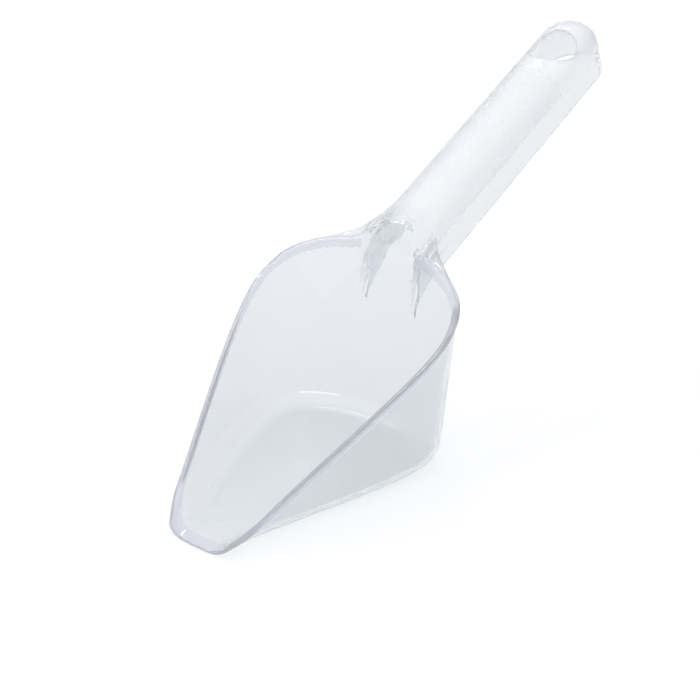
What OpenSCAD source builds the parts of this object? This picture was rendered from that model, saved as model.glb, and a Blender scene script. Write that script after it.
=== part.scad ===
// Ice scoop: one clear moulding, divided into the regions that a moulder would name.
// Millimetres. +Z up, +Y from the front lip to the handle, the floor of the bowl rests on Z = 0.
// The origin is under the middle of the whole scoop.

/* [Bowl] */
// Half width of the front lip at the floor corner line
lip_half = 13.8; // [12:0.1:15]
// Greatest half width of the bowl at the floor corner line
bowl_half = 32.2; // [30:0.1:34]
// Distance from the front lip to the widest place
widest_y = 69.3; // [66:0.1:72]
// Length of the bowl at the floor corner line
bowl_len = 91.6; // [90:0.1:93]
// Wall and floor thickness
wall = 1.8; // [1.6:0.1:2.8]
// Outside radius between the floor and the walls
corner_r = 9; // [8:0.5:10]
// Outward draft of the side walls, per millimetre of height
side_draft = 0.085; // [0.06:0.005:0.1]
// Outward draft of the back wall, per millimetre of height
back_draft = 0.032; // [0.02:0.002:0.06]

/* [Rim] */
// Height of the rim above the floor at the front lip
rim_front = 2.8; // [2.6:0.1:3.4]
// Rise of the rim for each millimetre towards the handle, at the lip
rim_rise = 0.70; // [0.64:0.01:0.72]
// Sag of the rim line at 100 mm from the lip
rim_sag = 7.94; // [6:0.1:9]
// Height of the rim band
rim_band = 2.2; // [1.8:0.1:2.6]
// How far the bead stands out from the wall
rim_bead = 0.3; // [0.2:0.1:1.2]
// How far the front lip bows forward
lip_bow = 2.0; // [1:0.1:3]

/* [Handle] */
// Slope of the handle
handle_slope = 21.9; // [20:0.1:23]
// Length of the handle from its datum at the back wall to the tip
handle_len = 120.2; // [110:0.2:130]
// Half width of the handle
handle_half = 10.75; // [10.5:0.05:11.5]
// Height of the crown above the edge of the skirts
crown_h = 10; // [9:0.1:11]
// Squareness of the crown curve, where 2 is an ellipse
crown_pow = 2.3; // [2:0.1:2.6]
// Wall thickness of the handle
handle_wall = 1.7; // [1.5:0.1:2.4]
// Depth of the skirts below the crown
skirt_h = 8.9; // [7.5:0.1:10]
// Outward draft of the skirts, per millimetre of depth
skirt_draft = 0.06; // [0:0.01:0.08]
// Step between the crown and the skirts
skirt_step = 0.3; // [0.1:0.1:0.5]
// Distance of the handle datum from the front lip
handle_y = 94.1; // [93.5:0.1:94.5]
// Height of the handle datum
handle_z = 57.1; // [56:0.1:58]

/* [Hang hole] */
// Radius of the hang hole
hole_r = 8.0; // [6:0.1:8.1]
// Distance of the hole from the tip of the handle
hole_from_tip = 19.5; // [19:0.1:30]

/* [Root] */
// Radius between the web and the side of the handle
web_r = 8; // [5:0.5:8.5]
// Height of the tip of the gussets above the rest face
gusset_z = 41.5; // [38:0.5:45]
// Thickness of the gussets
gusset_t = 2.4; // [2:0.1:2.4]
// Backward lean of the arch above the rim, per millimetre of height
arch_lean = 0.45; // [0.3:0.05:0.55]

/* [Hidden] */
$fn = 96;
na = 14;          // stations from the lip to the widest place
nb = 14;          // stations from the widest place to the middle of the back
ksteps = 12;      // steps up the wall
web_nx = 0.623;   // plan normal of the straight outer edge of the web
web_ny = 0.782;
web_d = 85.5;
cb = cos(handle_slope);
sb = sin(handle_slope);
// The whole scoop is centred on its own length.
y_max = handle_y + (handle_len + skirt_draft * skirt_h - skirt_step) * cb + skirt_h * sb;
y_mid = (y_max - lip_bow) / 2;

// ---- plan outline -------------------------------------------------------------
function bz(a, b, c, d, t) = pow(1 - t, 3) * a + 3 * t * pow(1 - t, 2) * b + 3 * t * t * (1 - t) * c + pow(t, 3) * d;
function dbz(a, b, c, d, t) = pow(1 - t, 2) * (b - a) + 2 * t * (1 - t) * (c - b) + t * t * (d - c);
A = [[lip_half, 0], [lip_half, 10.5], [bowl_half, widest_y - 15.9], [bowl_half, widest_y]];
B = [[bowl_half, widest_y], [bowl_half, widest_y + 16.3], [16.6, bowl_len], [0, bowl_len]];
function unit(v) = v / norm(v);
function station(c, t) = let(p = bz(c[0], c[1], c[2], c[3], t), d = unit(dbz(c[0], c[1], c[2], c[3], t))) [p, [d.y, -d.x]];
ST = concat([for (i = [0:na]) station(A, i / na)], [for (i = [1:nb]) station(B, i / nb)]);
ns = na + nb;     // index of the middle of the back
// First station behind which the rim turns into the web
split = na + 9;

// ---- wall profile --------------------------------------------------------------
function draft(n) = side_draft * n.x * n.x + back_draft * n.y * n.y;
function inset(z) = z < corner_r ? corner_r - sqrt(corner_r * corner_r - pow(corner_r - z, 2)) : 0;
function rim_z(y) = rim_front + rim_rise * y - rim_sag * y * y / 10000;
// Height at which a station's outer face meets the rim
function top_z(s, z, n = 7) = n == 0 ? z : top_z(s, rim_z(max(0, s[0].y + s[1].y * (draft(s[1]) * z - inset(z)))), n - 1);
ZT = [for (s = ST) top_z(s, rim_z(s[0].y))];
// Height of the outside of the crown at (x, y)
function crown(x) = crown_h * pow(max(0, 1 - pow(min(1, abs(x) / handle_half), crown_pow)), 1 / crown_pow);
function crown_z(x, y) = handle_z + (y - handle_y) * sb / cb + crown(x) / cb;
// How far the arch stands above the rim at a distance x from the middle
function arch_z(x, y) = abs(x) < 9 ? crown_z(x, y) : rim_z(y) + (crown_z(9, y) - rim_z(y)) * pow(max(0, (17 - abs(x)) / 8), 1.5);
function girth(z) = z < corner_r ? corner_r * acos(1 - z / corner_r) * PI / 180 : corner_r * PI / 2 + z - corner_r;
function phi(g) = min(90, g / corner_r * 180 / PI);
function outer_pt(i, g, out = 0) =
    let(s = ST[i], p = phi(g), z = p < 90 ? corner_r * (1 - cos(p)) : corner_r + g - corner_r * PI / 2,
        e = draft(s[1]) * z - corner_r * (1 - sin(p)) + out * sin(p) + arch_lean * max(0, z - ZT[i]))
    [s[0].x + s[1].x * e, s[0].y + s[1].y * e, z - out * cos(p)];
function inner_pt(i, g, out = 0) = outer_pt(i, g, out - wall);
function up(k) = pow(k / ksteps, 1.7);
function mir(p) = [-p.x, p.y, p.z];

// ---- polyhedron helpers -----------------------------------------------------------
// rings: a list of closed loops of equal length. The ends are capped, in strips from
// the outer half of the loop to the inner half when its points come in pairs.
module loft(rings, paired = false) {
    n = len(rings[0]);
    m = len(rings);
    z = (m - 1) * n;
    polyhedron(
        points = [for (r = rings) for (p = r) p],
        faces = concat(
            [for (i = [0:m - 2]) for (j = [0:n - 1]) let(a = i * n + j, b = i * n + (j + 1) % n) each [[a, b, b + n], [a, b + n, a + n]]],
            paired ? [for (j = [0:n / 2 - 2]) let(a = j, b = j + 1, c = n - 2 - j, d = n - 1 - j)
                each [[a, c, b], [a, d, c], [z + a, z + b, z + c], [z + a, z + c, z + d]]]
            : [[for (j = [n - 1:-1:0]) j], [for (j = [0:n - 1]) z + j]]));
}

// ---- bowl -------------------------------------------------------------------------
function wall_ring(i) = let(g = girth(ZT[i]) - rim_band)
    concat([for (k = [0:ksteps]) outer_pt(i, g * up(k))], [for (k = [ksteps:-1:0]) inner_pt(i, g * up(k))]);
module side_wall() loft([for (i = [0:split]) wall_ring(i)], true);

// The back wall runs to full height, with the arch that closes the front of the handle.
function arch_o(i) = let(z = arch_z(outer_pt(i, girth(ZT[i])).x, outer_pt(i, girth(ZT[i])).y + 1.2)) max(z, ZT[i]);
function back_ring(i) = let(go = girth(i == split ? ZT[i] : arch_o(i)))
    concat([for (k = [0:ksteps]) outer_pt(i, go * up(k))], [for (k = [ksteps:-1:0]) inner_pt(i, (go - (i == split ? 0 : 0.8)) * up(k))]);
BACK = concat([for (i = [split:ns]) back_ring(i)], [for (i = [ns - 1:-1:split]) [for (p = back_ring(i)) mir(p)]]);

module bowl_floor() color([0.80, 0.83, 0.86, 0.5]) translate([0, -y_mid, 0])
    linear_extrude(wall) polygon(concat([for (s = ST) s[0] - s[1] * corner_r],
        [for (i = [ns - 1:-1:0]) let(p = ST[i][0] - ST[i][1] * corner_r) [-p.x, p.y]]));
module bowl_wall_right() color([0.84, 0.87, 0.90, 0.5]) translate([0, -y_mid, 0]) side_wall();
module bowl_wall_left() color([0.84, 0.87, 0.90, 0.5]) translate([0, -y_mid, 0]) mirror([1, 0, 0]) side_wall();
module bowl_back_wall() color([0.88, 0.90, 0.92, 0.5]) translate([0, -y_mid, 0]) loft(BACK, true);

// ---- rim --------------------------------------------------------------------------
// The bead widens behind the widest place, to reach the straight edge of the web.
function bead(i) = let(s = ST[i], e = draft(s[1]) * ZT[i], q = s[0] + s[1] * e)
    i < na + 5 ? rim_bead : max(rim_bead, (web_d - q.x * web_nx - q.y * web_ny) / (s[1].x * web_nx + s[1].y * web_ny));
function lift(p, i, w) = p + [0, 0, (rim_rise - 2 * rim_sag * 0.009) * ST[i][1].y * w];
function rim_ring(i) = let(g1 = girth(ZT[i]) - rim_band, g2 = girth(ZT[i]), w = bead(i), x = w - rim_bead)
    [outer_pt(i, g1), lift(outer_pt(i, g1 + 0.3, w - 0.15), i, x), lift(outer_pt(i, g2 - 0.3, w), i, x), lift(outer_pt(i, g2, w - 0.35), i, x),
     inner_pt(i, g2, 0.3), inner_pt(i, g2 - 0.3), inner_pt(i, g1)];
module rim() loft([for (i = [0:split]) rim_ring(i)]);
module rim_right() color([0.70, 0.71, 0.77, 0.7]) translate([0, -y_mid, 0]) rim();
module rim_left() color([0.70, 0.71, 0.77, 0.7]) translate([0, -y_mid, 0]) mirror([1, 0, 0]) rim();

// ---- front lip ----------------------------------------------------------------------
LIPG = girth(ZT[0]);
LIP_O = concat([for (k = [8:-1:0]) outer_pt(0, LIPG * k / 8)], [for (k = [0:8]) mir(outer_pt(0, LIPG * k / 8))]);
LIP_I = concat([for (k = [8:-1:0]) inner_pt(0, LIPG * k / 8)], [for (k = [0:8]) mir(inner_pt(0, LIPG * k / 8))]);
function bow(x) = -0.4 - (lip_bow - 0.4) * (1 - pow(x / lip_half, 2));
// Outer and inner points of the lip: f = 0 is the back, where it joins the bowl, and f = 1 is the front edge
function lip_out(j, f) = let(o = LIP_O[j], q = LIP_I[j]) (o + (q - o) * 0.18 * f) + [0, bow(o.x) * f, 0];
function lip_in(j, f) = let(o = LIP_O[j], q = LIP_I[j]) (o + (q - o) * (1 - 0.35 * f)) + [0, bow(o.x) * f, 0];
module lip() {
    n = len(LIP_O);
    // four rows of n points: back outer, back inner, front inner, front outer
    rows = [for (j = [0:n - 1]) [lip_out(j, 0), lip_in(j, 0), lip_in(j, 1), lip_out(j, 1)]];
    loft(rows);
}
module front_lip() color([0.82, 0.84, 0.87, 0.6]) translate([0, -y_mid, 0]) lip();

// ---- handle -------------------------------------------------------------------------
function super(w, h, a) = [w * sign(cos(a)) * pow(abs(cos(a)), 2 / crown_pow), h * pow(abs(sin(a)), 2 / crown_pow)];
in_half = handle_half - handle_wall;
in_h = crown_h - 0.95 * handle_wall;
// Everything in front of the outside of the back wall, arch included
module before_back() {
    lv = [20, 40, 0, 82];
    function row(i, m) = [for (k = [0:3]) let(z = k == 2 ? ZT[i] : lv[k], p = outer_pt(i, girth(z))) [m * p.x, p.y, p.z]];
    function ring(i, m) = concat(row(i, m), [for (z = [82, 20]) [m * row(i, m)[0].x * 0.9, 60, z]]);
    loft(concat([for (i = [split - 2:ns]) ring(i, 1)], [for (i = [ns - 1:-1:split - 2]) ring(i, -1)]));
}
module along(s0, len) translate([0, handle_y, handle_z]) rotate([handle_slope - 90, 0, 0]) translate([0, 0, s0]) linear_extrude(len) children();
module crown_section(hollow = true) polygon(concat(
    [for (i = [0:40]) let(p = super(handle_half, crown_h, i * 4.5)) [p.x, -p.y]],
    hollow ? [for (i = [28:-1:0]) let(p = super(in_half, in_h, i * 180 / 28)) [p.x, -p.y]] : []));
module skirt_section() polygon([[handle_half - skirt_step, 0], [handle_half - skirt_step + skirt_draft * skirt_h, skirt_h],
    [in_half + 0.35, skirt_h], [in_half, 0]]);
straight = handle_len - handle_half;
module handle_crown() color([0.93, 0.94, 0.96, 0.8]) translate([0, -y_mid, 0]) difference() {
    along(-8, straight + 8) crown_section();
    before_back();
    translate([0, handle_y, handle_z]) rotate([handle_slope, 0, 0]) translate([0, handle_len - hole_from_tip, -1]) cylinder(r = hole_r, h = crown_h + 3);
}
module skirt() difference() { along(-8, straight + 8) skirt_section(); before_back(); }
module handle_skirt_right() color([0.90, 0.92, 0.94, 0.6]) translate([0, -y_mid, 0]) skirt();
module handle_skirt_left() color([0.90, 0.92, 0.94, 0.6]) translate([0, -y_mid, 0]) mirror([1, 0, 0]) skirt();
module handle_end() color([0.91, 0.93, 0.95, 0.7]) translate([0, -y_mid, 0])
    translate([0, handle_y + straight * cb, handle_z + straight * sb]) rotate([handle_slope, 0, 0]) rotate_extrude(angle = 180)
    polygon(concat([for (i = [0:20]) super(handle_half, crown_h, 90 - i * 4.5)],
        [[handle_half - skirt_step, 0], [handle_half - skirt_step + skirt_draft * skirt_h, -skirt_h], [in_half + 0.35, -skirt_h]],
        [for (i = [0:14]) super(in_half, in_h, i * 90 / 14)]));

// ---- root ------------------------------------------------------------------------------
function web_z(y) = rim_z(94) + (rim_rise - 2 * rim_sag * 0.0094) * (y - 94);
// Half width of the crown at (y, z)
function crown_x(y, z) = let(h = (z - handle_z) * cb - (y - handle_y) * sb)
    handle_half * pow(1 - pow(max(0, min(0.99, h / crown_h)), crown_pow), 1 / crown_pow);
module web() {
    w = bead(split);
    e = outer_pt(split, girth(ZT[split]), w - 0.35);
    side_x = handle_half - 1.1;
    corner_y = (web_d - side_x * web_nx) / web_ny;
    // Tangent arc between the straight edge and the side of the handle
    turn = atan2(web_nx, web_ny);
    full = 90 - turn;
    tl = web_r * tan(full / 2);
    c = [side_x + web_r, corner_y + tl];
    // Inner edge, along the back wall and then the crown. Each point is [top x, y, bottom x].
    edge = [for (i = [split:ns]) let(p = outer_pt(i, girth(ZT[i])), q = outer_pt(i, girth(ZT[i]) - rim_band)) if (p.x > handle_half - 0.4) [p.x, p.y, q.x]];
    y0 = edge[len(edge) - 1].y + 0.1;
    inner = concat(edge, [for (k = [0:5]) let(y = y0 + (c.y - y0) * k / 5) [crown_x(y, web_z(y)), y, crown_x(y, web_z(y) - rim_band)]]);
    // Outer edge, from the rim to the side of the handle, with as many points
    m = len(inner) - 1;
    arc = [for (i = [m:-1:1]) let(a = 180 + full * i / m) c + web_r * [cos(a), sin(a)]];
    outer = concat([[e.x, e.y, e.x]], [for (p = arc) [max(p.x, crown_x(p.y, web_z(p.y)) + 0.2), p.y, max(p.x, crown_x(p.y, web_z(p.y) - rim_band) + 0.2)]]);
    loft([for (j = [0:m]) let(o = outer[j], q = inner[j])
        [[o[2], o.y, web_z(o.y) - rim_band], [o.x, o.y, web_z(o.y)], [q.x, q.y, web_z(q.y)], [q[2], q.y, web_z(q.y) - rim_band]]], true);
}
module root_web_right() color([0.78, 0.79, 0.85, 0.6]) translate([0, -y_mid, 0]) web();
module root_web_left() color([0.78, 0.79, 0.85, 0.6]) translate([0, -y_mid, 0]) mirror([1, 0, 0]) web();

function under(y) = handle_z + (y - handle_y) * sb / cb - skirt_h / cb;
module gusset() difference() {
    translate([handle_half - gusset_t, 0, 0]) rotate([90, 0, 90]) linear_extrude(gusset_t)
        polygon([[86, gusset_z - 1.2], [91.6 + 0.032 * gusset_z - 1.0, gusset_z - 1.2], [101, under(101)], [86, under(86)]]);
    before_back();
}
module gusset_right() color([0.78, 0.79, 0.85, 0.6]) translate([0, -y_mid, 0]) gusset();
module gusset_left() color([0.78, 0.79, 0.85, 0.6]) translate([0, -y_mid, 0]) mirror([1, 0, 0]) gusset();

bowl_floor();
bowl_wall_left();
bowl_wall_right();
bowl_back_wall();
rim_left();
rim_right();
front_lip();
root_web_left();
root_web_right();
gusset_left();
gusset_right();
handle_crown();
handle_skirt_left();
handle_skirt_right();
handle_end();
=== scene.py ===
import math

import bmesh
import bpy
import numpy as np
from mathutils import Matrix, Vector


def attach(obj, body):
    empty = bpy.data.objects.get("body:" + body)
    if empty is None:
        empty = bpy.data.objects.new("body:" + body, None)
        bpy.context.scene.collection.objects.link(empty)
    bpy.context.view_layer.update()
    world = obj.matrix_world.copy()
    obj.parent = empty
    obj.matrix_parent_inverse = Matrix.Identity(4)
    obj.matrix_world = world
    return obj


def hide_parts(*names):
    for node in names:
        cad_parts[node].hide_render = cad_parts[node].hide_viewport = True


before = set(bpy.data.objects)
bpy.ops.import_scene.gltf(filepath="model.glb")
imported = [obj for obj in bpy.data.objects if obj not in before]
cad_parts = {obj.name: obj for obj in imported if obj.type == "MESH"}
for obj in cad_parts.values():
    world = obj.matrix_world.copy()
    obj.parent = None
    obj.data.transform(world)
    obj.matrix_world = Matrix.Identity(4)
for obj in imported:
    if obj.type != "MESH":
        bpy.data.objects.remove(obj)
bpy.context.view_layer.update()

scene = bpy.context.scene

# ------------------------------------------------------------------ dimensions, as in the CAD model (mm)
LIP_HALF, BOWL_HALF, WIDEST_Y, BOWL_LEN = 13.8, 32.2, 69.3, 91.6
WALL, CORNER_R = 1.8, 9.0
SIDE_DRAFT, BACK_DRAFT = 0.085, 0.032
RIM_FRONT, RIM_RISE, RIM_SAG, RIM_BAND, RIM_BEAD = 2.8, 0.70, 7.94, 2.2, 0.3
LIP_BOW = 2.0
SLOPE = math.radians(21.9)
CB, SB = math.cos(SLOPE), math.sin(SLOPE)
HLEN, HHALF, CROWN_H, CROWN_P = 120.2, 10.75, 10.0, 2.3
SKIRT_H, SKIRT_DRAFT, SKIRT_STEP = 8.9, 0.06, 0.3
HY, HZ = 94.1, 57.1
HOLE_R, HOLE_TIP = 8.0, 19.5
WEB_NX, WEB_NY, WEB_D, WEB_R = 0.623, 0.782, 85.5, 8.0
GUSSET_Z, GUSSET_T, ARCH_LEAN = 41.5, 2.4, 0.45
HANDLE_WALL = 1.7
IN_HALF, IN_H = HHALF - HANDLE_WALL, CROWN_H - 0.95 * HANDLE_WALL
Y_MAX = HY + (HLEN + SKIRT_DRAFT * SKIRT_H - SKIRT_STEP) * CB + SKIRT_H * SB
Y_MID = (Y_MAX - LIP_BOW) / 2


def to_m(p):
    p = np.array(p, float)
    p = p - np.array([0.0, Y_MID, 0.0])
    return p / 1000.0


# ------------------------------------------------------------------ plan outline of the bowl as a distance field
def bezier(P, t):
    t = t[:, None]
    return (1 - t) ** 3 * P[0] + 3 * t * (1 - t) ** 2 * P[1] + 3 * t * t * (1 - t) * P[2] + t ** 3 * P[3]


def outline():
    A = np.array([[LIP_HALF, 0], [LIP_HALF, 10.5], [BOWL_HALF, WIDEST_Y - 15.9], [BOWL_HALF, WIDEST_Y]], float)
    B = np.array([[BOWL_HALF, WIDEST_Y], [BOWL_HALF, WIDEST_Y + 16.3], [16.6, BOWL_LEN], [0, BOWL_LEN]], float)
    a = bezier(A, np.linspace(0, 1, 241))
    b = bezier(B, np.linspace(0, 1, 201))[1:]
    right = np.vstack([[[LIP_HALF, -40.0]], a, b])
    return right


G0 = np.array([-52.0, -14.0])
GH = 0.5
GN = (209, 493)


def plan_field():
    """Signed distance to the outline, negative inside, on a grid that the solver reads with cubic weights."""
    P = outline()
    a, b = P[:-1], P[1:]
    ab = b - a
    L2 = (ab ** 2).sum(1)
    xs = np.arange(GN[0]) * GH + G0[0]
    ys = np.arange(GN[1]) * GH + G0[1]
    half = xs[xs >= -1e-9]
    X, Y = np.meshgrid(half, ys, indexing="ij")
    Q = np.stack([X.ravel(), Y.ravel()], 1)
    best = np.full(len(Q), 1e9)
    sign = np.ones(len(Q))
    for k in range(0, len(Q), 20000):
        q = Q[k:k + 20000]
        w = q[:, None] - a
        t = np.clip((w * ab).sum(-1) / L2, 0, 1)
        d = w - t[..., None] * ab
        d2 = (d ** 2).sum(-1)
        i = d2.argmin(1)
        r = np.arange(len(q))
        cr = ab[i, 0] * w[r, i, 1] - ab[i, 1] * w[r, i, 0]
        best[k:k + 20000] = np.sqrt(d2[r, i])
        sign[k:k + 20000] = np.where(cr < 0, 1, -1)
    F = (best * sign).reshape(X.shape)
    full = np.concatenate([F[:0:-1], F], 0)
    return full


PLAN = plan_field()
PGX, PGY = np.gradient(PLAN, GH)
PN = np.sqrt(PGX ** 2 + PGY ** 2) + 1e-9
KDRAFT = (SIDE_DRAFT * PGX ** 2 + BACK_DRAFT * PGY ** 2) / PN ** 2
NYF = PGY / PN


def cubic(F, x, y):
    """Catmull-Rom lookup of a grid field."""
    u = np.clip((x - G0[0]) / GH, 1.001, GN[0] - 2.001)
    v = np.clip((y - G0[1]) / GH, 1.001, GN[1] - 2.001)
    i = np.floor(u).astype(np.int64)
    j = np.floor(v).astype(np.int64)
    fu, fv = u - i, v - j

    def wts(f):
        return (-0.5 * f + f * f - 0.5 * f ** 3, 1 - 2.5 * f * f + 1.5 * f ** 3, 0.5 * f + 2 * f * f - 1.5 * f ** 3, -0.5 * f * f + 0.5 * f ** 3)

    wu, wv = wts(fu), wts(fv)
    out = np.zeros_like(u)
    for a in range(4):
        row = np.zeros_like(u)
        for b in range(4):
            row += wv[b] * F[i + a - 1, j + b - 1]
        out += wu[a] * row
    return out


def linear(F, x, y):
    u = np.clip((x - G0[0]) / GH, 0, GN[0] - 1.001)
    v = np.clip((y - G0[1]) / GH, 0, GN[1] - 1.001)
    i = np.floor(u).astype(np.int64)
    j = np.floor(v).astype(np.int64)
    fu, fv = u - i, v - j
    return (F[i, j] * (1 - fu) + F[i + 1, j] * fu) * (1 - fv) + (F[i, j + 1] * (1 - fu) + F[i + 1, j + 1] * fu) * fv


# ------------------------------------------------------------------ distance functions
def smin(a, b, k):
    h = np.maximum(k - np.abs(a - b), 0.0)
    return np.minimum(a, b) - h * h / (4 * k)


def smax(a, b, k):
    h = np.maximum(k - np.abs(a - b), 0.0)
    return np.maximum(a, b) + h * h / (4 * k)


def ramp(x, k=1.5):
    """max(x, 0) with a rounded knee"""
    return 0.5 * (x + np.sqrt(x * x + k * k))


def rim_z(y):
    return RIM_FRONT + RIM_RISE * y - RIM_SAG * y * y / 10000


def rim_dz(y):
    return RIM_RISE - 2 * RIM_SAG * y / 10000


def crown_r(q, h, w, hc):
    a = np.abs(q) / w
    b = np.maximum(h, 0) / hc
    r = np.maximum(a ** CROWN_P + b ** CROWN_P, 1e-9) ** (1 / CROWN_P)
    # length of the gradient of r
    ga = a ** (CROWN_P - 1) / w
    gb = b ** (CROWN_P - 1) / hc
    g = np.sqrt(ga * ga + gb * gb) / r ** (CROWN_P - 1)
    return (r - 1) / np.maximum(g, 1e-3)


def wall_dist(P):
    """Signed distance, in mm, to the outside of the plain bowl wall."""
    x, y, z = np.abs(P[:, 0]), P[:, 1], P[:, 2]
    k = linear(KDRAFT, x, y)
    u = (cubic(PLAN, x, y) - k * z) / np.sqrt(1 + k * k)
    return np.maximum(u, -z)


def scoop(P):
    """Signed distance, in mm, to the surface of the whole moulding at points P (n, 3), CAD plan coordinates."""
    x, y, z = np.abs(P[:, 0]), P[:, 1], P[:, 2]
    e = cubic(PLAN, x, y)
    k = linear(KDRAFT, x, y)
    ny = linear(NYF, x, y)
    zr = rim_z(y)
    sl = np.sqrt(1 + rim_dz(y) ** 2)
    # wall line with draft, leaning back above the rim at the back
    back = np.clip((y - 80) / 8, 0, 1)
    lean = ARCH_LEAN * back * ramp(z - zr - 0.5) * np.clip((15 - x) / 5, 0, 1)
    c = np.sqrt(1 + k * k)
    u = (e - k * z - lean) / c
    v = -z
    pu, pv = np.maximum(u + CORNER_R, 0), np.maximum(v + CORNER_R, 0)
    hyp = np.sqrt(pu * pu + pv * pv) + 1e-9
    d_out = np.minimum(np.maximum(u, v) + CORNER_R, 0) + hyp - CORNER_R
    cosp, sinp = pv / hyp, pu / hyp
    depth = np.maximum(-d_out, -3.0)
    # height above the rim line, measured square to the wall
    zo = z - depth * cosp
    yo = y + depth * sinp * ny
    p_top = (zo - rim_z(np.maximum(yo, -4))) / np.sqrt(1 + rim_dz(y) ** 2 * 0.75)
    # at the root the wall runs on up inside the crown, so its top edge leaves no step
    xr = np.minimum(x / HHALF, 1.0)
    arch = CROWN_H * np.maximum(1 - xr ** CROWN_P, 0) ** (1 / CROWN_P) / CB
    p_top = p_top - np.clip(arch - 5.6, 0, 4.6) * back
    # front edge of the lip, with the floor thinning towards it
    bow = 0.4 + (LIP_BOW - 0.4) * (1 - np.clip(x / LIP_HALF, 0, 1.2) ** 2)
    front = -(y + bow)
    t = WALL - 0.6 * np.exp(-np.maximum(y + bow, 0) / 3.2)
    tub = smax(d_out, p_top + 0.7, 0.4)
    # rim band with its bead
    bw = RIM_BEAD * np.clip((y + 6) / 12, 0.55, 1)
    qx = d_out - bw + 0.7
    qz = np.abs(p_top + RIM_BAND / 2) - RIM_BAND / 2 + 0.7
    band = np.minimum(np.maximum(qx, qz), 0) + np.hypot(np.maximum(qx, 0), np.maximum(qz, 0)) - 0.7
    tub = smin(tub, band, 0.7)
    # flange that joins the rim to the handle: it widens out of the rim and fades into the side of the crown
    line = x * WEB_NX + y * WEB_NY - WEB_D
    strip = x - 9.7 + 0.5 * ramp(y - 102.0, 2.0)
    gap = np.maximum(WEB_R - np.abs(line - strip), 0)
    web = np.minimum(line, strip) - gap * gap / (4 * WEB_R) * 0.9
    grow = 0.3 + (np.maximum(y - 80.0, 0) / 5.5) ** 2
    web = smax(web, d_out - grow, 1.2)
    web = smax(web, np.maximum(y - 112.0, 79 - y), 1.5)
    slab = np.abs((z - zr) / sl + RIM_BAND / 2) - RIM_BAND / 2
    flange = smax(web, slab, 1.3)
    inside = np.clip((9.6 - x) / 8.0, 0, 1)
    flange = flange + 8.0 * inside * inside * (3 - 2 * inside) + 0.45 * ramp(y - 99.0, 4.0)
    # handle: s runs along it and h stands square to it
    dy, dz = y - HY, z - HZ
    s = dy * CB + dz * SB
    h = -dy * SB + dz * CB
    sc = HLEN - HHALF
    q = np.where(s > sc, np.hypot(x, s - sc), x)
    crown = crown_r(q, h, HHALF, CROWN_H)
    skirt = (q - (HHALF - SKIRT_STEP - SKIRT_DRAFT * np.minimum(h, 0)))
    step = np.clip((h + 0.35) / 0.7, 0, 1)
    step = step * step * (3 - 2 * step)
    outer = np.where(h > 0.35, crown, np.where(h < -0.35, skirt, crown * step + skirt * (1 - step)))
    full = smax(outer, -h - SKIRT_H, 0.7)
    full = smax(full, -s - 8, 0.5)
    icrown = crown_r(q, h, IN_HALF, IN_H)
    iskirt = q - (IN_HALF - 0.04 * np.minimum(h, 0))
    channel = np.where(h > 0, icrown, iskirt)
    hole = HOLE_R - np.hypot(x, s - (HLEN - HOLE_TIP))
    hole = np.where(h > -SKIRT_H - 2, hole, -5.0)
    # gussets that carry the sides of the handle down the back wall
    th = GUSSET_T / 2 * np.clip((z - GUSSET_Z + 12) / 22, 0.45, 1)
    gx = np.abs(x - (HHALF - 1.3 + 0.02 * (HZ - z))) - th
    tip = np.array([92.6, GUSSET_Z - 0.5])
    top = np.array([101.5, HZ + (101.5 - HY) * SB / CB - SKIRT_H / CB])
    g = top - tip
    gl = np.hypot(*g)
    gline = ((y - tip[0]) * g[1] - (z - tip[1]) * g[0]) / gl
    gusset = smax(smax(gx, gline, 0.8), np.maximum(h + SKIRT_H - 3.5, 84 - y), 0.5)
    gusset = np.maximum(gusset, -(d_out + 0.9))
    solid = smin(full, flange, 6.5)
    body = smax(solid, np.minimum(-channel, d_out), 0.6)
    body = smin(body, gusset, 1.6)
    # the bowl's own space cuts through everything, so its inner face stays one smooth surface
    total = smax(smin(tub, body, 1.4), -(d_out + t), 1.1)
    total = smax(total, hole, 0.8)
    total = smax(total, front, 0.7)
    return total


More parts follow.
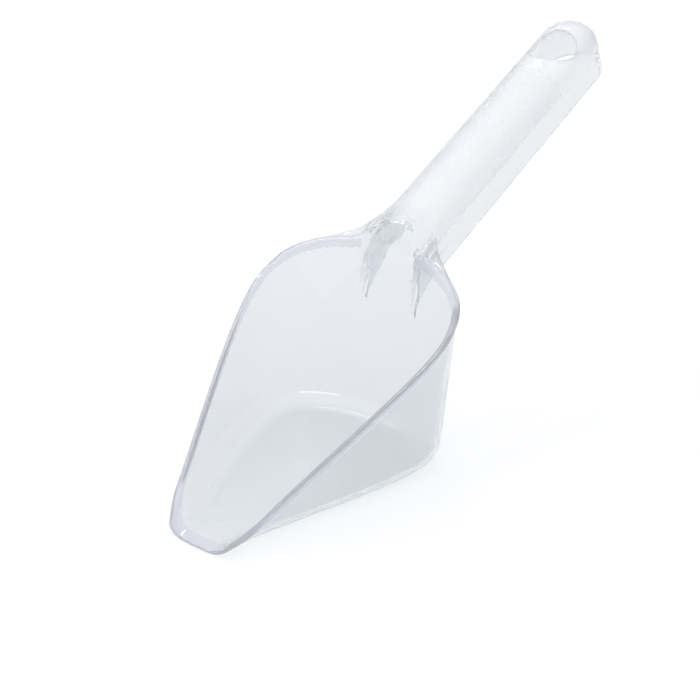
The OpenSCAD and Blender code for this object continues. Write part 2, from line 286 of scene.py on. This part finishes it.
# ------------------------------------------------------------------ surface nets on a narrow band
def build(h, lo=(-39.0, -4.0, -1.5), hi=(39.0, 212.0, 113.5)):
    lo = np.array(lo, float)
    m = 4
    n = [int(math.ceil((hi[i] - lo[i]) / (h * m))) for i in range(3)]
    ax = [lo[i] + np.arange(n[i] + 1) * h * m for i in range(3)]
    X = np.stack(np.meshgrid(*ax, indexing="ij"), -1).reshape(-1, 3)
    C = scoop(X).reshape([k + 1 for k in n])
    lim = 1.9 * h * m + 0.8
    near = np.abs(C) < lim
    cell = np.zeros(n, bool)
    for i in (0, 1):
        for j in (0, 1):
            for k in (0, 1):
                cell |= near[i:n[0] + i, j:n[1] + j, k:n[2] + k]
    D = np.repeat(np.repeat(np.repeat(C, m, 0), m, 1), m, 2)[: n[0] * m + 1, : n[1] * m + 1, : n[2] * m + 1].astype(np.float32)
    D = np.where(D > 0, np.maximum(D, 0.5), np.minimum(D, -0.5)).astype(np.float32)
    ids = np.argwhere(cell)
    mark = np.zeros(D.shape, bool)
    for i in range(m + 1):
        for j in range(m + 1):
            for k in range(m + 1):
                mark[ids[:, 0] * m + i, ids[:, 1] * m + j, ids[:, 2] * m + k] = True
    pts = np.argwhere(mark)
    vals = np.empty(len(pts), np.float32)
    for a in range(0, len(pts), 400000):
        vals[a:a + 400000] = scoop(lo + pts[a:a + 400000] * h)
    D[pts[:, 0], pts[:, 1], pts[:, 2]] = vals
    S = D < 0
    # cells with corners on both sides
    any_ = np.zeros([k - 1 for k in S.shape], bool)
    all_ = np.ones([k - 1 for k in S.shape], bool)
    for i in (0, 1):
        for j in (0, 1):
            for k in (0, 1):
                sub = S[i:S.shape[0] - 1 + i, j:S.shape[1] - 1 + j, k:S.shape[2] - 1 + k]
                any_ |= sub
                all_ &= sub
    act = np.argwhere(any_ & ~all_)
    index = np.full(any_.shape, -1, np.int64)
    index[act[:, 0], act[:, 1], act[:, 2]] = np.arange(len(act))
    corners = [(i, j, k) for i in (0, 1) for j in (0, 1) for k in (0, 1)]
    val = {c: D[act[:, 0] + c[0], act[:, 1] + c[1], act[:, 2] + c[2]].astype(float) for c in corners}
    acc = np.zeros((len(act), 3))
    cnt = np.zeros(len(act))
    for c in corners:
        for axis in range(3):
            if c[axis]:
                continue
            c2 = list(c)
            c2[axis] = 1
            a, b = val[c], val[tuple(c2)]
            cross = (a < 0) != (b < 0)
            t = np.where(cross, a / np.where(cross, a - b, 1), 0)
            p = np.tile(np.array(c, float), (len(act), 1))
            p[:, axis] += t
            acc += np.where(cross[:, None], p, 0)
            cnt += cross
    V = lo + (act + acc / cnt[:, None]) * h
    faces = []
    for axis in range(3):
        o1, o2 = (axis + 1) % 3, (axis + 2) % 3
        sl0 = [slice(None)] * 3
        sl1 = [slice(None)] * 3
        sl0[axis] = slice(0, -1)
        sl1[axis] = slice(1, None)
        A, B = S[tuple(sl0)], S[tuple(sl1)]
        e = np.argwhere(A != B)
        e = e[(e[:, o1] > 0) & (e[:, o2] > 0) & (e[:, o1] < S.shape[o1] - 1) & (e[:, o2] < S.shape[o2] - 1)]
        inside = A[e[:, 0], e[:, 1], e[:, 2]]
        d1, d2 = np.zeros(3, int), np.zeros(3, int)
        d1[o1] = 1
        d2[o2] = 1
        q = [e - d1 - d2, e - d2, e, e - d1]
        f = np.stack([index[p[:, 0], p[:, 1], p[:, 2]] for p in q], 1)
        f = np.where(inside[:, None], f, f[:, ::-1])
        faces.append(f)
    F = np.concatenate(faces)
    for _ in range(4):
        d, g = grad(V)
        n2 = (g ** 2).sum(1)
        stepv = g * (d / np.maximum(n2, 0.2))[:, None]
        L = np.linalg.norm(stepv, axis=1)
        stepv *= np.minimum(1, 0.4 * h / np.maximum(L, 1e-9))[:, None]
        V = V - stepv
    # even the vertices out along the surface
    E = np.concatenate([F[:, [0, 1]], F[:, [1, 2]], F[:, [2, 3]], F[:, [3, 0]]])
    deg = np.bincount(E.ravel(), minlength=len(V)).astype(float)
    for _ in range(3):
        M = np.stack([np.bincount(E[:, 0], V[E[:, 1], c], len(V)) + np.bincount(E[:, 1], V[E[:, 0], c], len(V)) for c in range(3)], 1) / deg[:, None]
        d, g = grad(V)
        g = g / np.maximum(np.linalg.norm(g, axis=1), 1e-6)[:, None]
        mv = M - V
        mv -= g * (mv * g).sum(1)[:, None]
        V = V + 0.5 * mv
        d = scoop(V)
        V = V - g * np.clip(d, -0.3 * h, 0.3 * h)[:, None]
    return V, F


def grad(V, eps=0.03):
    d = scoop(V)
    g = np.empty_like(V)
    for i in range(3):
        o = np.zeros(3)
        o[i] = eps
        g[:, i] = (scoop(V + o) - scoop(V - o)) / (2 * eps)
    return d, g


def mesh_object(name, V, F, N, mats):
    me = bpy.data.meshes.new(name)
    me.vertices.add(len(V))
    me.vertices.foreach_set("co", to_m(V).astype(np.float32).ravel())
    me.loops.add(F.size)
    me.loops.foreach_set("vertex_index", F.astype(np.int32).ravel())
    me.polygons.add(len(F))
    me.polygons.foreach_set("loop_start", np.arange(len(F), dtype=np.int32) * 4)
    me.polygons.foreach_set("use_smooth", np.ones(len(F), bool))
    me.update(calc_edges=True)
    me.validate()
    me.normals_split_custom_set_from_vertices(N.astype(np.float32))
    ob = bpy.data.objects.new(name, me)
    scene.collection.objects.link(ob)
    for mt in mats:
        me.materials.append(mt)
    return ob


# ------------------------------------------------------------------ materials
def principled(name, color, rough, ior=1.585):
    mt = bpy.data.materials.new(name)
    mt.use_nodes = True
    nt = mt.node_tree
    nt.nodes.clear()
    out = nt.nodes.new("ShaderNodeOutputMaterial")
    bs = nt.nodes.new("ShaderNodeBsdfPrincipled")
    bs.inputs["Base Color"].default_value = (*color, 1)
    bs.inputs["Roughness"].default_value = rough
    bs.inputs["IOR"].default_value = ior
    bs.inputs["Transmission Weight"].default_value = 1.0
    nt.links.new(bs.outputs[0], out.inputs["Surface"])
    return mt, nt, bs, out


def node(nt, kind, **kw):
    n = nt.nodes.new(kind)
    for k, v in kw.items():
        if k.startswith("in_"):
            n.inputs[int(k[3:])].default_value = v
        else:
            setattr(n, k, v)
    return n


def math_node(nt, op, a, b=None):
    m = nt.nodes.new("ShaderNodeMath")
    m.operation = op
    for i, v in enumerate((a, b)):
        if v is None:
            continue
        if isinstance(v, (int, float)):
            m.inputs[i].default_value = v
        else:
            nt.links.new(v, m.inputs[i])
    return m.outputs[0]


def shadow_pass(nt, surface, out, tint):
    """Light from the lamps goes through, a little tinted, as through a thin clear wall."""
    lp = nt.nodes.new("ShaderNodeLightPath")
    tr = nt.nodes.new("ShaderNodeBsdfTransparent")
    tr.inputs["Color"].default_value = (*tint, 1)
    mx = nt.nodes.new("ShaderNodeMixShader")
    both = math_node(nt, "MAXIMUM", lp.outputs["Is Shadow Ray"], lp.outputs["Is Diffuse Ray"])
    nt.links.new(both, mx.inputs[0])
    nt.links.new(surface, mx.inputs[1])
    nt.links.new(tr.outputs[0], mx.inputs[2])
    nt.links.new(mx.outputs[0], out.inputs["Surface"])


def ramp_node(nt, src, a, b, lo=0.0, hi=1.0, smooth=True):
    mr = nt.nodes.new("ShaderNodeMapRange")
    mr.interpolation_type = "SMOOTHSTEP" if smooth else "LINEAR"
    mr.inputs["From Min"].default_value = a
    mr.inputs["From Max"].default_value = b
    mr.inputs["To Min"].default_value = lo
    mr.inputs["To Max"].default_value = hi
    nt.links.new(src, mr.inputs["Value"])
    return mr.outputs["Result"]


def clear_material(name, color, rough, tint, handle=False, cloud=0.0, ior=1.45):
    """Clear moulded plastic with faint flow ripples and fine wear, and on the handle a frosted top."""
    mt, nt, bs, out = principled(name, color, rough, ior)
    bs.inputs["Transmission Weight"].default_value = 1.0 - cloud
    tc = nt.nodes.new("ShaderNodeTexCoord")
    # slow ripples of the moulded surface
    mp = nt.nodes.new("ShaderNodeMapping")
    mp.inputs["Scale"].default_value = (1.0, 0.45, 1.0)
    nt.links.new(tc.outputs["Object"], mp.inputs["Vector"])
    slow = node(nt, "ShaderNodeTexNoise")
    slow.inputs["Scale"].default_value = 55.0
    slow.inputs["Detail"].default_value = 1.5
    nt.links.new(mp.outputs[0], slow.inputs["Vector"])
    fine = node(nt, "ShaderNodeTexNoise")
    fine.inputs["Scale"].default_value = 900.0
    fine.inputs["Detail"].default_value = 2.0
    nt.links.new(tc.outputs["Object"], fine.inputs["Vector"])
    b1 = nt.nodes.new("ShaderNodeBump")
    b1.inputs["Strength"].default_value = 0.35
    b1.inputs["Distance"].default_value = 0.0004
    nt.links.new(slow.outputs["Fac"], b1.inputs["Height"])
    wear = ramp_node(nt, fine.outputs["Fac"], 0.42, 0.75, rough, rough + 0.05)
    if not handle:
        nt.links.new(wear, bs.inputs["Roughness"])
        nt.links.new(b1.outputs[0], bs.inputs["Normal"])
    else:
        # s runs along the handle, h stands square to it
        sp = nt.nodes.new("ShaderNodeSeparateXYZ")
        nt.links.new(tc.outputs["Object"], sp.inputs[0])
        oy, oz = (HY - Y_MID) / 1000, HZ / 1000
        dy = math_node(nt, "SUBTRACT", sp.outputs["Y"], oy)
        dz = math_node(nt, "SUBTRACT", sp.outputs["Z"], oz)
        s = math_node(nt, "ADD", math_node(nt, "MULTIPLY", dy, CB), math_node(nt, "MULTIPLY", dz, SB))
        h = math_node(nt, "SUBTRACT", math_node(nt, "MULTIPLY", dz, CB), math_node(nt, "MULTIPLY", dy, SB))
        ax = math_node(nt, "ABSOLUTE", sp.outputs["X"])
        # outside of the crown only
        r2 = math_node(nt, "ADD",
                       math_node(nt, "POWER", math_node(nt, "DIVIDE", ax, HHALF / 1000), CROWN_P),
                       math_node(nt, "POWER", math_node(nt, "DIVIDE", math_node(nt, "MAXIMUM", h, 0.0), CROWN_H / 1000), CROWN_P))
        outside = ramp_node(nt, r2, 0.86, 0.96)
        top = ramp_node(nt, h, 0.0004, 0.0012)
        start = ramp_node(nt, s, 0.003, 0.012)
        end = ramp_node(nt, s, 0.084, 0.0925, 1.0, 0.0)
        mask = math_node(nt, "MULTIPLY", math_node(nt, "MULTIPLY", outside, top), math_node(nt, "MULTIPLY", start, end))
        grain = node(nt, "ShaderNodeTexVoronoi")
        grain.inputs["Scale"].default_value = 1500.0
        nt.links.new(tc.outputs["Object"], grain.inputs["Vector"])
        gn = node(nt, "ShaderNodeTexNoise")
        gn.inputs["Scale"].default_value = 2300.0
        gn.inputs["Detail"].default_value = 2.0
        nt.links.new(tc.outputs["Object"], gn.inputs["Vector"])
        both = math_node(nt, "ADD", grain.outputs["Distance"], math_node(nt, "MULTIPLY", gn.outputs["Fac"], 0.8))
        hgt = math_node(nt, "MULTIPLY", both, mask)
        b2 = nt.nodes.new("ShaderNodeBump")
        b2.inputs["Strength"].default_value = FROST_BUMP
        b2.inputs["Distance"].default_value = 0.00025
        nt.links.new(hgt, b2.inputs["Height"])
        nt.links.new(b1.outputs[0], b2.inputs["Normal"])
        nt.links.new(b2.outputs[0], bs.inputs["Normal"])
        blend = ramp_node(nt, s, 0.005, 0.016)
        nt.links.new(math_node(nt, "SUBTRACT", 0.88, math_node(nt, "MULTIPLY", blend, cloud - 0.12)), bs.inputs["Transmission Weight"])
        tone = nt.nodes.new("ShaderNodeMix")
        tone.data_type = "RGBA"
        tone.inputs[6].default_value = (0.83, 0.855, 0.875, 1)
        tone.inputs[7].default_value = (*color, 1)
        nt.links.new(blend, tone.inputs[0])
        nt.links.new(tone.outputs[2], bs.inputs["Base Color"])
        frost = math_node(nt, "MULTIPLY", mask, math_node(nt, "ADD", FROST, math_node(nt, "MULTIPLY", gn.outputs["Fac"], 0.12)))
        nt.links.new(math_node(nt, "MAXIMUM", wear, frost), bs.inputs["Roughness"])
    shadow_pass(nt, bs.outputs[0], out, tint)
    return mt


FROST = 0.30
FROST_BUMP = 0.8
M_CLEAR = clear_material("clear_wall", (0.83, 0.855, 0.875), 0.015, (0.915, 0.92, 0.925), cloud=0.12, ior=1.42)
# rim band: the same clear plastic as the bowl, with a darker grey-lilac colour and more cloud painted on as shade,
# standing in for the look through the thick rim edge
M_RIM_PAINTED_SHADE = clear_material("clear_edge_painted_shade", (0.70, 0.715, 0.775), 0.06, (0.88, 0.885, 0.90), cloud=0.36, ior=1.46)
M_GUSSET = clear_material("clear_rib", (0.88, 0.885, 0.915), 0.16, (0.92, 0.925, 0.93), cloud=0.30, ior=1.2)
M_HANDLE = clear_material("frosted_grip", (0.905, 0.925, 0.94), 0.02, (0.925, 0.93, 0.935), handle=True, cloud=0.42, ior=1.42)


# ------------------------------------------------------------------ the moulding, cut into its named regions
H = 0.48
V, F = build(H)
# nothing dips below the rest face
V[:, 2] = np.maximum(V[:, 2], 0.0)
DV, GV = grad(V)
NV = GV / np.linalg.norm(GV, axis=1)[:, None]
C3 = V[F].mean(1)


def region(P):
    x, y, z = np.abs(P[:, 0]), P[:, 1], P[:, 2]
    dy, dz = y - HY, z - HZ
    s = dy * CB + dz * SB
    h = -dy * SB + dz * CB
    return x, y, z, s, h


x3, y3, z3, s3, h3 = region(C3)
is_handle = (s3 > 6.0) & (y3 > 97)
above = (z3 - rim_z(y3)) / np.sqrt(1 + rim_dz(y3) ** 2)
off3 = wall_dist(C3)


def ramp_down(y):
    """The part of the rim band that carries the painted-shade rim colour narrows towards the handle root."""
    return 1.04 - 0.38 * np.clip((y + 1) / 16, 0, 1)


# faces of the rim band that get the rim material with painted shade
is_rim = (~is_handle) & (above > -RIM_BAND * ramp_down(y3)) & ((y3 < 80) | (x3 > 10.5)) & (above < 0.8) & ((y3 < 86) | (off3 < 0.5))
is_gusset = (~is_handle) & (~is_rim) & (off3 > 0.45) & (x3 < 13) & (y3 > 82) & (above < -RIM_BAND)
parts = {
    "scoop_bowl": (~is_handle) & (~is_rim) & (~is_gusset),
    "scoop_gussets": is_gusset,
    "scoop_rim": is_rim,
    "scoop_handle": is_handle,
}
ALL_NODES = ["bowl_floor", "bowl_wall_left", "bowl_wall_right", "bowl_back_wall", "rim_left", "rim_right", "front_lip",
             "root_web_left", "root_web_right", "gusset_left", "gusset_right", "handle_crown", "handle_skirt_left",
             "handle_skirt_right", "handle_end"]
STANDS = {
    "scoop_bowl": (["bowl_floor", "bowl_wall_left", "bowl_wall_right", "bowl_back_wall"], "clear_plastic", M_CLEAR),
    "scoop_gussets": (["gusset_left", "gusset_right"], "clear_plastic", M_GUSSET),
    # the rim pieces carry the rim material whose darker colour is painted shade
    "scoop_rim": (["rim_left", "rim_right", "front_lip", "root_web_left", "root_web_right"], "clear_rim", M_RIM_PAINTED_SHADE),
    "scoop_handle": (["handle_crown", "handle_skirt_left", "handle_skirt_right", "handle_end"], "frosted_plastic", M_HANDLE),
}
for name, mask in parts.items():
    f = F[mask]
    used, inv = np.unique(f, return_inverse=True)
    nodes, slot, mat = STANDS[name]
    ob = mesh_object(name, V[used], inv.reshape(f.shape), NV[used], [mat])
    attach(ob, "root")
    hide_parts(*nodes)

# ------------------------------------------------------------------ floor, light, camera
T = np.array([0.0, 72.012, 33.245])
AZ, EL, ROLL, FPX, DIST = math.radians(36.7016), math.radians(28.6202), math.radians(0.8409), 1607.42, 500.567


def studio_floor():
    """A pale floor, flat under the object and all around it."""
    me = bpy.data.meshes.new("floor")
    bm = bmesh.new()
    n = 64
    prof = [(-4.0, 0.0), (-2.0, 0.0), (-1.0, 0.0), (0.0, 0.0), (1.0, 0.0), (2.0, 0.0), (4.0, 0.0)]
    grid = []
    for i in range(n + 1):
        a = -4.0 + 8.0 * i / n
        grid.append([bm.verts.new((a, p[0], p[1] - 0.0001)) for p in prof])
    for i in range(n):
        for j in range(len(prof) - 1):
            bm.faces.new((grid[i][j], grid[i + 1][j], grid[i + 1][j + 1], grid[i][j + 1]))
    bm.to_mesh(me)
    bm.free()
    ob = bpy.data.objects.new("floor", me)
    scene.collection.objects.link(ob)
    mt = bpy.data.materials.new("floor_white")
    mt.use_nodes = True
    nt = mt.node_tree
    bs = nt.nodes["Principled BSDF"]
    bs.inputs["Roughness"].default_value = 0.9
    bs.inputs["Specular IOR Level"].default_value = 0.1
    tc = nt.nodes.new("ShaderNodeTexCoord")
    nz = nt.nodes.new("ShaderNodeTexNoise")
    nz.inputs["Scale"].default_value = 6.0
    nt.links.new(tc.outputs["Object"], nz.inputs["Vector"])
    cr = nt.nodes.new("ShaderNodeMapRange")
    cr.inputs["To Min"].default_value = 0.93
    cr.inputs["To Max"].default_value = 0.95
    nt.links.new(nz.outputs["Fac"], cr.inputs["Value"])
    cc = nt.nodes.new("ShaderNodeCombineColor")
    for k in range(3):
        nt.links.new(cr.outputs[0], cc.inputs[k])
    nt.links.new(cc.outputs[0], bs.inputs["Base Color"])
    me.materials.append(mt)
    return ob


floor = studio_floor()


def area(name, loc, size, power, color=(1, 1, 1), aim=(0, 0, 0.04), shape="RECTANGLE", sy=None):
    ld = bpy.data.lights.new(name, "AREA")
    ld.shape = shape
    ld.size = size
    if sy:
        ld.size_y = sy
    ld.energy = power
    ld.color = color
    ob = bpy.data.objects.new(name, ld)
    scene.collection.objects.link(ob)
    loc = Vector(loc)
    ob.location = loc
    ob.rotation_euler = (Vector(aim) - loc).to_track_quat("-Z", "Y").to_euler()
    return ob


world = bpy.data.worlds.new("studio")
scene.world = world
world.use_nodes = True
wn = world.node_tree
bg = wn.nodes["Background"]
# bright overhead, greyer towards the horizon, as in a small white studio
wtc = wn.nodes.new("ShaderNodeTexCoord")
wsp = wn.nodes.new("ShaderNodeSeparateXYZ")
wn.links.new(wtc.outputs["Generated"], wsp.inputs[0])
wr = wn.nodes.new("ShaderNodeValToRGB")
wr.color_ramp.elements[0].position = 0.50
wr.color_ramp.elements[0].color = (0.34, 0.35, 0.40, 1)
wr.color_ramp.elements[1].position = 0.90
wr.color_ramp.elements[1].color = (1.0, 1.0, 1.0, 1)
wm = wn.nodes.new("ShaderNodeMapRange")
wm.inputs["From Min"].default_value = -1
wn.links.new(wsp.outputs["Z"], wm.inputs["Value"])
wn.links.new(wm.outputs[0], wr.inputs[0])
wn.links.new(wr.outputs[0], bg.inputs["Color"])
bg.inputs["Strength"].default_value = 1.0

area("key", (-1.3, 0.5, 2.2), 1.6, 15)
area("fill", (0.7, -1.2, 1.3), 2.0, 5)


def add_camera():
    back = np.array([math.sin(AZ) * math.cos(EL), -math.cos(AZ) * math.cos(EL), math.sin(EL)])
    right = np.array([math.cos(AZ), math.sin(AZ), 0.0])
    upv = np.cross(back, right)
    c, s = math.cos(ROLL), math.sin(ROLL)
    r2, u2 = c * right + s * upv, -s * right + c * upv
    loc = to_m(T + back * DIST)
    cd = bpy.data.cameras.new("camera")
    cd.sensor_width = 36
    cd.sensor_fit = "HORIZONTAL"
    cd.lens = FPX * 36 / 700
    cd.clip_start = 0.01
    cd.clip_end = 50
    ob = bpy.data.objects.new("camera", cd)
    scene.collection.objects.link(ob)
    M = Matrix.Identity(4)
    for i in range(3):
        M[i][0], M[i][1], M[i][2], M[i][3] = r2[i], u2[i], back[i], loc[i]
    ob.matrix_world = M
    scene.camera = ob


add_camera()

scene.view_settings.view_transform = "Standard"
scene.view_settings.look = "None"
scene.view_settings.exposure = 0.0
scene.cycles.use_denoising = True
scene.cycles.max_bounces = 24
scene.cycles.transmission_bounces = 24
scene.cycles.transparent_max_bounces = 24
scene.cycles.glossy_bounces = 8
scene.cycles.diffuse_bounces = 4
scene.cycles.caustics_reflective = False
scene.cycles.caustics_refractive = True
scene.cycles.blur_glossy = 0.3
scene.cycles.sample_clamp_indirect = 6.0
